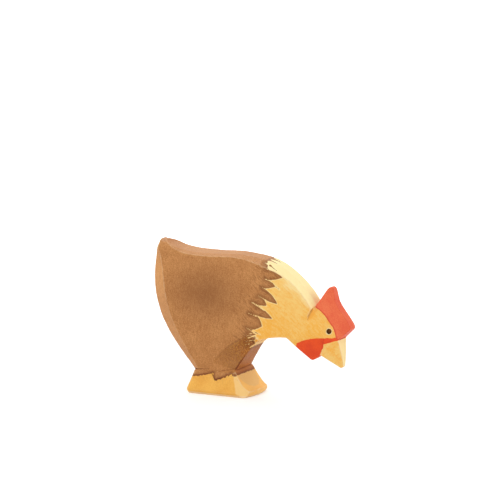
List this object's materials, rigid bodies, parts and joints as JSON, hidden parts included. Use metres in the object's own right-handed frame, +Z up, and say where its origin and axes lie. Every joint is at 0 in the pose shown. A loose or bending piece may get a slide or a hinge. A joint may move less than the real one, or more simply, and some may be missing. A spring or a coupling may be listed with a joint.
{
  "type": "carved wooden toy hen",
  "caption": "Small carved wooden toy hen, pecking, on a flared foot, painted brown and yellow with a red comb and wattle.",
  "frame": {"origin": "middle of the foot's flat underside", "axes": "+X the way the hen faces, along its length; +Y its left side, across its thickness; +Z up"},
  "size_m": [0.0633, 0.0156, 0.0444],
  "materials": {
    "painted_wood": "carved wood with a thin matt water stain, brown body, straw yellow neck and head, red comb and wattle, ochre foot",
    "eye_enamel": "dot of very dark brown glossy enamel"
  },
  "bodies": {
    "root": {"hen_figure": "painted_wood", "eye_right": "eye_enamel", "eye_left": "eye_enamel"}
  },
  "joints": []
}
